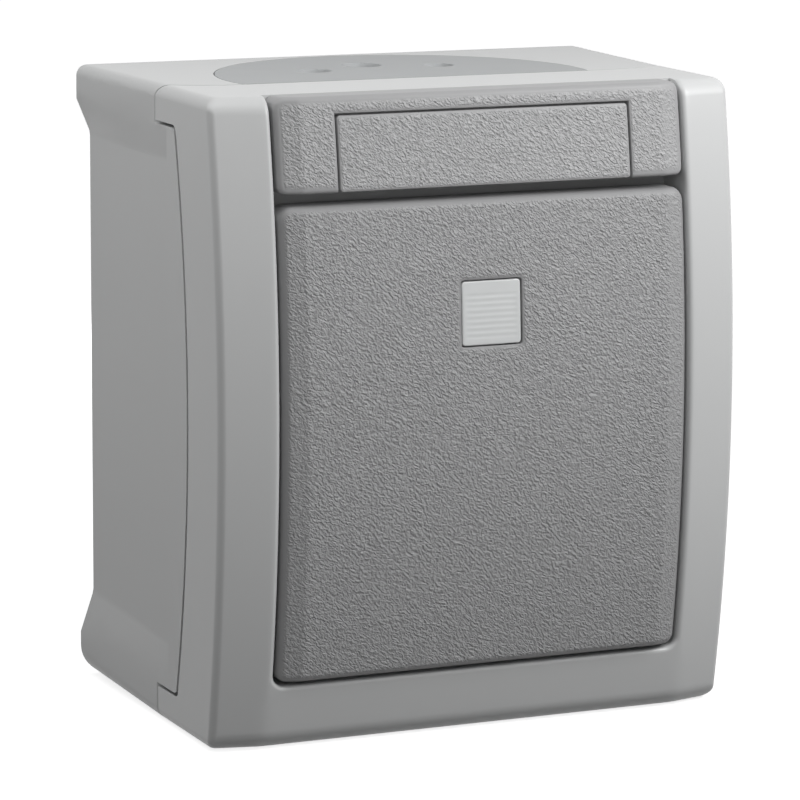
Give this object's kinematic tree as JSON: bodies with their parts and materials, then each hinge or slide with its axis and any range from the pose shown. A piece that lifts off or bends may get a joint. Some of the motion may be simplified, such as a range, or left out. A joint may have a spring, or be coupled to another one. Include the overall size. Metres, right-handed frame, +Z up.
{
  "type": "outdoor weatherproof switch",
  "caption": "Surface-mounted weatherproof rocker switch with a light grey box, a crowned frame, a grained grey rocker with a milky lens, a label holder and a cable membrane.",
  "frame": {"origin": "centre of the flat back face that lies against the wall", "axes": "+Z up, +Y from the front into the wall, +X to the viewer's right; the rocker faces -Y"},
  "size_m": [0.068, 0.0469, 0.0758],
  "materials": {
    "base_plastic": "plain off-white",
    "bridge_steel": "zinc plated sheet",
    "carrier_plastic": "leather grain with smooth borders",
    "contact_brass": "bright",
    "cradle_plastic": "plain dark",
    "frame_plastic": "fine matt light grey",
    "gasket_rubber": "matt black",
    "holder_plastic": "plain dark",
    "housing_plastic": "fine matt light grey",
    "label_plastic": "leather grain",
    "lamp_body": "clear white",
    "lens_plastic": "milky, finely ribbed",
    "membrane_rubber": "soft matt mid grey",
    "pin_steel": "ground",
    "plunger_plastic": "plain white",
    "rocker_plastic": "leather grain with smooth borders",
    "screw_steel": "zinc plated",
    "seal_rubber": "matt black",
    "spring_steel": "bright",
    "terminal_brass": "bright",
    "washer_rubber": "matt black"
  },
  "bodies": {
    "body": {"rear_housing": "housing_plastic", "cable_membrane": "membrane_rubber", "frame_gasket": "gasket_rubber", "front_frame": "frame_plastic", "frame_screws": "screw_steel", "label_carrier": "carrier_plastic", "label_plate": "label_plastic", "wall_screw_seals": "washer_rubber", "rocker_seal": "seal_rubber", "mounting_bridge": "bridge_steel", "bridge_screws": "screw_steel", "switch_base": "base_plastic", "lever_bracket": "contact_brass", "lever_pin": "pin_steel", "upper_contact": "contact_brass", "lower_contact": "contact_brass", "terminal_common": "terminal_brass", "terminal_lamp": "terminal_brass", "terminal_upper": "terminal_brass", "terminal_lower": "terminal_brass", "terminal_screws": "screw_steel", "lamp_holder": "holder_plastic", "indicator_lamp": "lamp_body"},
    "rocker": {"rocker_plate": "rocker_plastic", "indicator_lens": "lens_plastic", "rocker_cradle": "cradle_plastic", "plunger": "plunger_plastic", "plunger_spring": "spring_steel"},
    "lever": {"contact_lever": "contact_brass"}
  },
  "joints": [
    {"name": "rocker_tilt", "type": "hinge", "parent": "body", "child": "rocker", "pos_m": [0, -0.0335, 0], "axis": [-1, 0, 0], "range_deg": [0, 4]},
    {"name": "lever_tilt", "type": "hinge", "parent": "body", "child": "lever", "pos_m": [0, -0.013, 0], "axis": [1, 0, 0], "range_deg": [0, 10]}
  ],
  "couplings": [
    {"joint": "lever_tilt", "follows": "rocker_tilt", "ratio": 2.5}
  ]
}
